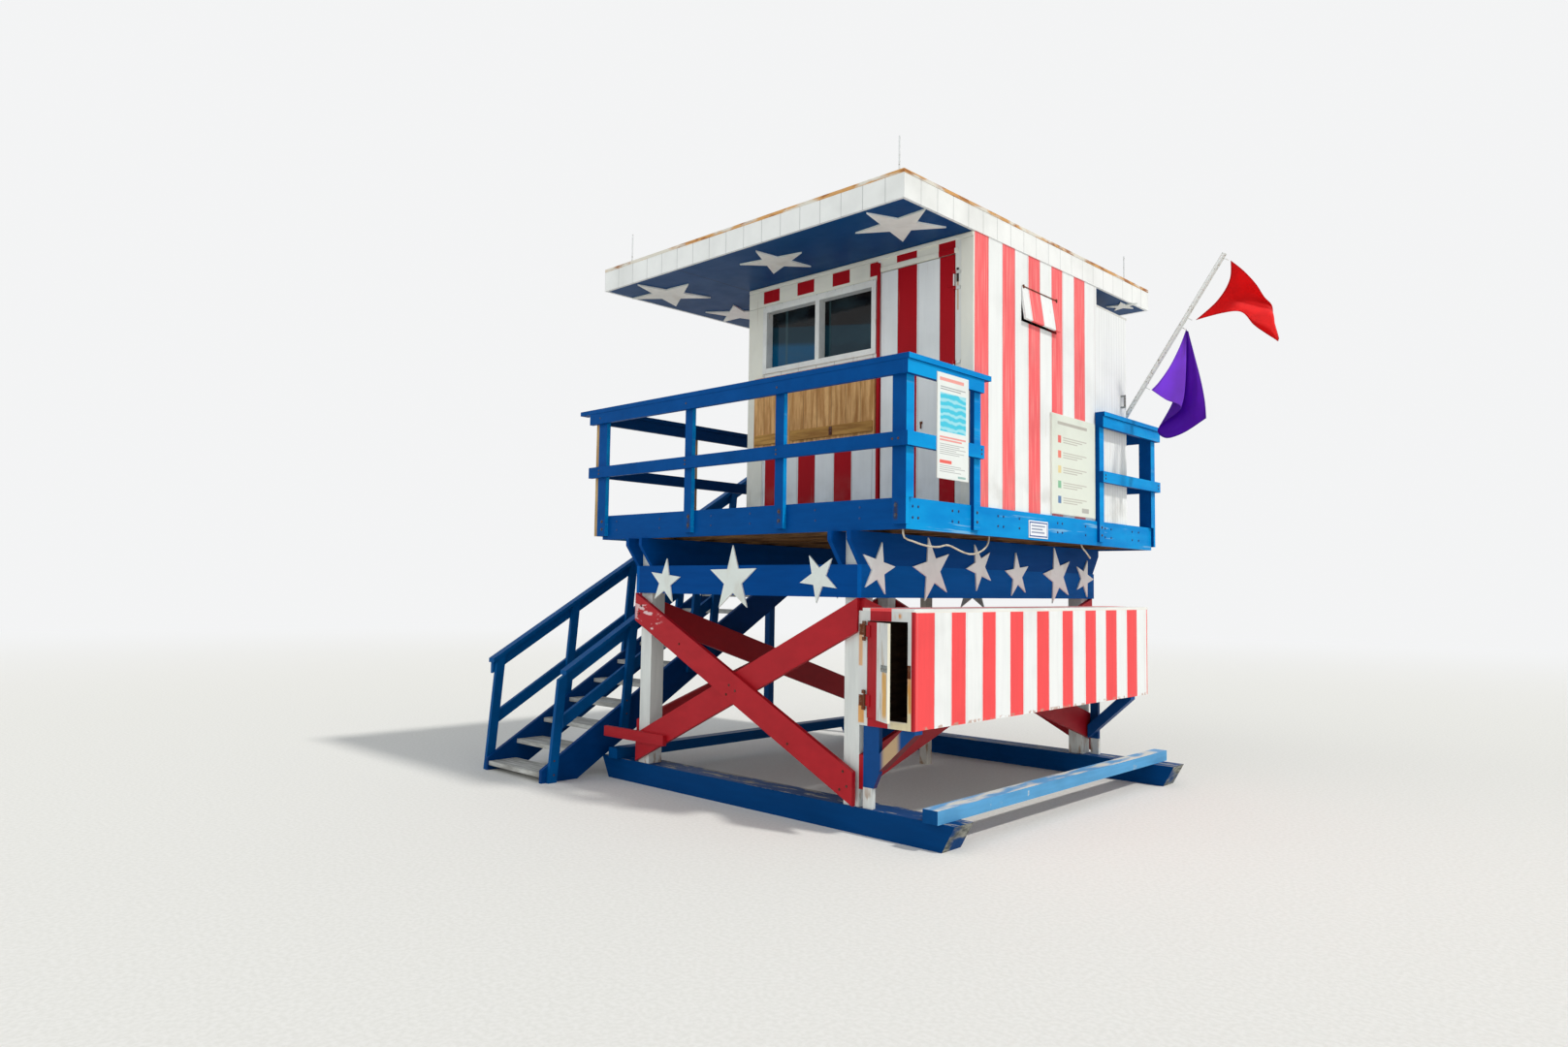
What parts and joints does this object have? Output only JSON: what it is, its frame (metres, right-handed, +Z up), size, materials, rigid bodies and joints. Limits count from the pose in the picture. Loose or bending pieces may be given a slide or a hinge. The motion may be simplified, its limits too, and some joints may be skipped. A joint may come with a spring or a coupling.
{
  "type": "lifeguard tower",
  "caption": "Timber lifeguard tower: striped hut with wide flat roof on a railed deck, cross-braced posts on two skids, side stair, long locker and leaning flag pole.",
  "frame": {"origin": "middle of the tower's bounding box in plan, on the ground under the skids", "axes": "+X along the front to the right, towards the flags; +Y from the front to the rear; +Z up"},
  "size_m": [5.7994, 4.6104, 4.9434],
  "materials": {
    "deck_blue": "satin",
    "bare_timber": "matte",
    "post_white": "satin",
    "brace_red": "satin",
    "hut_white": "satin",
    "hut_red": "satin",
    "soffit_blue": "satin",
    "star_cream": "satin",
    "tread_grey": "matte",
    "pine": "matte",
    "window_white": "satin",
    "glass": "gloss",
    "metal_grey": "satin",
    "sign_cream": "satin",
    "flag_red": "matte",
    "flag_purple": "matte",
    "cable_beige": "satin"
  },
  "bodies": {
    "tower": {"deck_floor": "deck_blue", "deck_fascia": "deck_blue", "floor_joists": "bare_timber", "deck_beams": "deck_blue", "cross_beams": "deck_blue", "side_beams": "deck_blue", "posts": "post_white", "centre_prop": "post_white", "skids": "deck_blue", "skid_ties": "deck_blue", "front_brace": "brace_red", "rear_brace": "brace_red", "side_braces": "brace_red", "stair_tie": "brace_red", "locker_floor": "hut_white", "locker_top": "hut_white", "locker_face": "hut_red", "locker_back": "hut_white", "locker_far_end": "hut_white", "locker_door_frame": "hut_white", "locker_brackets": "deck_blue", "front_wall": "hut_white", "front_wall_corner": "hut_white", "front_wall_header": "hut_white", "right_wall": "hut_red", "left_wall": "hut_red", "rear_wall": "hut_white", "closet_walls": "hut_white", "closet_roof": "hut_white", "window_frame": "window_white", "window_glass": "glass", "window_shutters": "pine", "vent_flap": "hut_red", "hinge_pins": "metal_grey", "grab_handle": "metal_grey", "roof_soffit": "soffit_blue", "roof_top": "hut_white", "roof_fascia": "hut_white", "roof_rods": "metal_grey", "front_railing": "deck_blue", "left_railing": "deck_blue", "left_railing_posts": "bare_timber", "right_railings": "deck_blue", "rear_railing": "deck_blue", "stair_stringers": "deck_blue", "stair_treads": "tread_grey", "stair_railings": "deck_blue", "landing": "deck_blue", "landing_railing": "deck_blue", "beam_stars": "star_cream", "soffit_stars": "star_cream", "signs": "sign_cream", "loose_cables": "cable_beige", "flag_pole": "metal_grey", "red_flag": "flag_red", "purple_flag": "flag_purple"},
    "front_door": {"front_door": "hut_red"},
    "locker_door": {"locker_door": "brace_red"}
  },
  "joints": [
    {"name": "front_door_hinge", "type": "hinge", "parent": "tower", "child": "front_door", "pos_m": [1.37876, -0.91325, 3.35], "axis": [0, 0, 1], "range_deg": [0, 90]},
    {"name": "locker_door_hinge", "type": "hinge", "parent": "tower", "child": "locker_door", "pos_m": [1.16876, -1.69925, 1.156], "axis": [0, 0, -1], "range_deg": [-28, 66]}
  ]
}
